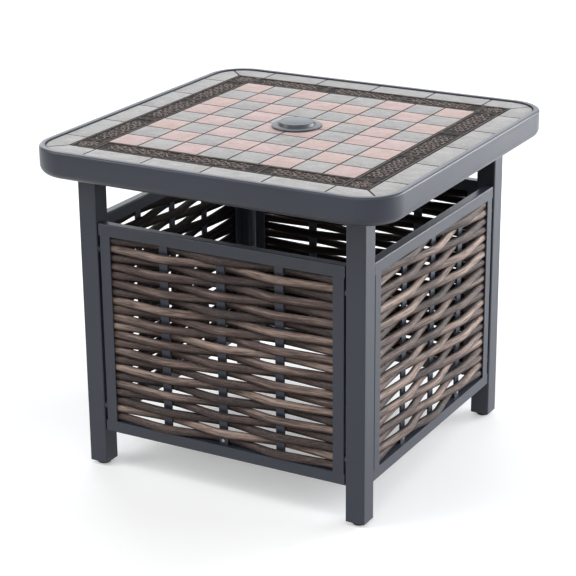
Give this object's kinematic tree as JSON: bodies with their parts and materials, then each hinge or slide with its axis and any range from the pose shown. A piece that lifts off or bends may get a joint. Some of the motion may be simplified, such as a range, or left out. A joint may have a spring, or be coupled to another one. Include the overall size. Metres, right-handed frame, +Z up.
{
  "type": "outdoor side table",
  "caption": "Square outdoor side table with a tiled mosaic top, an umbrella hole with a lift-out plug, tube legs on levelling feet and woven reed side panels.",
  "frame": {"origin": "centre of the footprint, on the floor under the table", "axes": "+Z up; -Y is the front, the face seen at the left in the picture; +X is the right side, the face seen at the right"},
  "size_m": [0.576, 0.576, 0.511],
  "materials": {
    "frame_metal": "satin powder coat",
    "zinc_steel": "zinc plated",
    "black_plastic": "matt",
    "plug_plastic": "satin",
    "foam": "foam",
    "pad_rubber": "matt",
    "reed": "matt, streaked brown",
    "light_tile": "matt stone look",
    "grey_tile": "matt stone look",
    "pink_tile": "matt stone look",
    "dark_tile": "matt, raised ornament",
    "grout": "matt",
    "cement_board": "matt"
  },
  "bodies": {
    "table": {"top_rim": "frame_metal", "tile_board": "cement_board", "grout": "grout", "border_tiles": "light_tile", "relief_tiles": "dark_tile", "pink_tiles": "pink_tile", "grey_tiles": "grey_tile", "hole_sleeve": "black_plastic", "sleeve_nut": "black_plastic", "frame_bar_left": "frame_metal", "frame_bar_right": "frame_metal", "frame_bar_front": "frame_metal", "frame_bar_back": "frame_metal", "centre_bar_left": "frame_metal", "centre_bar_right": "frame_metal", "board_tape": "foam", "leg_front_left": "frame_metal", "leg_front_right": "frame_metal", "leg_back_right": "frame_metal", "leg_back_left": "frame_metal", "leg_top_inserts": "zinc_steel", "leg_bolts": "zinc_steel", "leg_plugs": "black_plastic", "panel_front_top_rail": "frame_metal", "panel_front_bottom_rail": "frame_metal", "panel_front_left_stile": "frame_metal", "panel_front_right_stile": "frame_metal", "panel_front_stakes": "frame_metal", "panel_front_reeds": "reed", "panel_right_top_rail": "frame_metal", "panel_right_bottom_rail": "frame_metal", "panel_right_left_stile": "frame_metal", "panel_right_right_stile": "frame_metal", "panel_right_stakes": "frame_metal", "panel_right_reeds": "reed", "panel_back_top_rail": "frame_metal", "panel_back_bottom_rail": "frame_metal", "panel_back_left_stile": "frame_metal", "panel_back_right_stile": "frame_metal", "panel_back_stakes": "frame_metal", "panel_back_reeds": "reed", "panel_left_top_rail": "frame_metal", "panel_left_bottom_rail": "frame_metal", "panel_left_left_stile": "frame_metal", "panel_left_right_stile": "frame_metal", "panel_left_stakes": "frame_metal", "panel_left_reeds": "reed", "panel_bolts": "zinc_steel", "panel_spacers": "black_plastic", "rivet_nuts": "zinc_steel", "stake_screws": "zinc_steel"},
    "plug": {"hole_plug": "plug_plastic"},
    "pad_front_left": {"foot_pad_front_left": "pad_rubber"},
    "stud_front_left": {"foot_stud_front_left": "zinc_steel"},
    "pad_front_right": {"foot_pad_front_right": "pad_rubber"},
    "stud_front_right": {"foot_stud_front_right": "zinc_steel"},
    "pad_back_right": {"foot_pad_back_right": "pad_rubber"},
    "stud_back_right": {"foot_stud_back_right": "zinc_steel"},
    "pad_back_left": {"foot_pad_back_left": "pad_rubber"},
    "stud_back_left": {"foot_stud_back_left": "zinc_steel"}
  },
  "joints": [
    {"name": "plug_lift", "type": "slide", "parent": "table", "child": "plug", "axis": [0, 0, 1], "range_m": [0, 0.04]},
    {"name": "foot_travel_front_left", "type": "slide", "parent": "table", "child": "pad_front_left", "axis": [0, 0, -1], "range_m": [0, 0.006]},
    {"name": "foot_turn_front_left", "type": "hinge", "parent": "pad_front_left", "child": "stud_front_left", "pos_m": [-0.2185, -0.2185, 0], "axis": [0, 0, -1], "range_deg": [0, 1730]},
    {"name": "foot_travel_front_right", "type": "slide", "parent": "table", "child": "pad_front_right", "axis": [0, 0, -1], "range_m": [0, 0.006]},
    {"name": "foot_turn_front_right", "type": "hinge", "parent": "pad_front_right", "child": "stud_front_right", "pos_m": [0.2185, -0.2185, 0], "axis": [0, 0, -1], "range_deg": [0, 1730]},
    {"name": "foot_travel_back_right", "type": "slide", "parent": "table", "child": "pad_back_right", "axis": [0, 0, -1], "range_m": [0, 0.006]},
    {"name": "foot_turn_back_right", "type": "hinge", "parent": "pad_back_right", "child": "stud_back_right", "pos_m": [0.2185, 0.2185, 0], "axis": [0, 0, -1], "range_deg": [0, 1730]},
    {"name": "foot_travel_back_left", "type": "slide", "parent": "table", "child": "pad_back_left", "axis": [0, 0, -1], "range_m": [0, 0.006]},
    {"name": "foot_turn_back_left", "type": "hinge", "parent": "pad_back_left", "child": "stud_back_left", "pos_m": [-0.2185, 0.2185, 0], "axis": [0, 0, -1], "range_deg": [0, 1730]}
  ],
  "couplings": [
    {"joint": "foot_turn_front_left", "follows": "foot_travel_front_left", "rad_per_m": 5026.5},
    {"joint": "foot_turn_front_right", "follows": "foot_travel_front_right", "rad_per_m": 5026.5},
    {"joint": "foot_turn_back_right", "follows": "foot_travel_back_right", "rad_per_m": 5026.5},
    {"joint": "foot_turn_back_left", "follows": "foot_travel_back_left", "rad_per_m": 5026.5}
  ]
}
